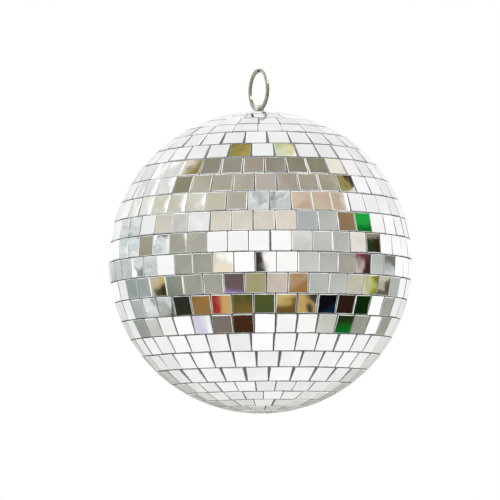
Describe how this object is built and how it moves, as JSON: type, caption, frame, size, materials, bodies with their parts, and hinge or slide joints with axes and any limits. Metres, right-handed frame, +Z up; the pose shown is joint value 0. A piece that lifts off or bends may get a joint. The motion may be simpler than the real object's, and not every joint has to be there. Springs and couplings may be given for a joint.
{
  "type": "mirror ball",
  "caption": "Hanging mirror ball: rows of small glass mirror tiles on tape strips round a two-piece plastic core, with a plastic eye and a split ring on top.",
  "frame": {"origin": "the point inside the top of the split ring that a hook or cord bears on", "axes": "+Z up along the hanging line, +X along the swing axis through the foot of the ring, +Y square to the ring's plane"},
  "size_m": [0.1504, 0.1504, 0.1716],
  "materials": {
    "mirror_glass": "silvered glass tiles, polished faces and cut edges",
    "core_plastic": "moulded, matt",
    "eye_plastic": "translucent, off-white",
    "glue": "hot-melt glue, milky, slightly yellow",
    "washer_steel": "zinc plated",
    "nut_steel": "zinc plated",
    "ring_steel": "nickel plated spring steel"
  },
  "bodies": {
    "ring": {"split_ring": "ring_steel"},
    "ball": {"bottom_cap_tile": "mirror_glass", "core_lower_shell": "core_plastic", "core_upper_shell": "core_plastic", "eye_glue": "glue", "hanger_eye": "eye_plastic", "hanger_nut": "nut_steel", "hanger_washer": "washer_steel", "mirror_strip_upper01": "mirror_glass", "mirror_strip_upper02": "mirror_glass", "mirror_strip_upper03": "mirror_glass", "mirror_strip_upper04": "mirror_glass", "mirror_strip_upper05": "mirror_glass", "mirror_strip_upper06": "mirror_glass", "mirror_strip_upper07": "mirror_glass", "mirror_strip_upper08": "mirror_glass", "mirror_strip_upper09": "mirror_glass", "mirror_strip_upper10": "mirror_glass", "mirror_strip_upper11": "mirror_glass", "mirror_strip_upper12": "mirror_glass", "mirror_strip_lower01": "mirror_glass", "mirror_strip_lower02": "mirror_glass", "mirror_strip_lower03": "mirror_glass", "mirror_strip_lower04": "mirror_glass", "mirror_strip_lower05": "mirror_glass", "mirror_strip_lower06": "mirror_glass", "mirror_strip_lower07": "mirror_glass", "mirror_strip_lower08": "mirror_glass", "mirror_strip_lower09": "mirror_glass", "mirror_strip_lower10": "mirror_glass", "mirror_strip_lower11": "mirror_glass", "mirror_strip_lower12": "mirror_glass"}
  },
  "joints": [
    {"name": "ball_swing", "type": "hinge", "parent": "ring", "child": "ball", "pos_m": [0, 0, -0.01865], "axis": [1, 0, 0], "range_deg": [-90, 90]}
  ]
}
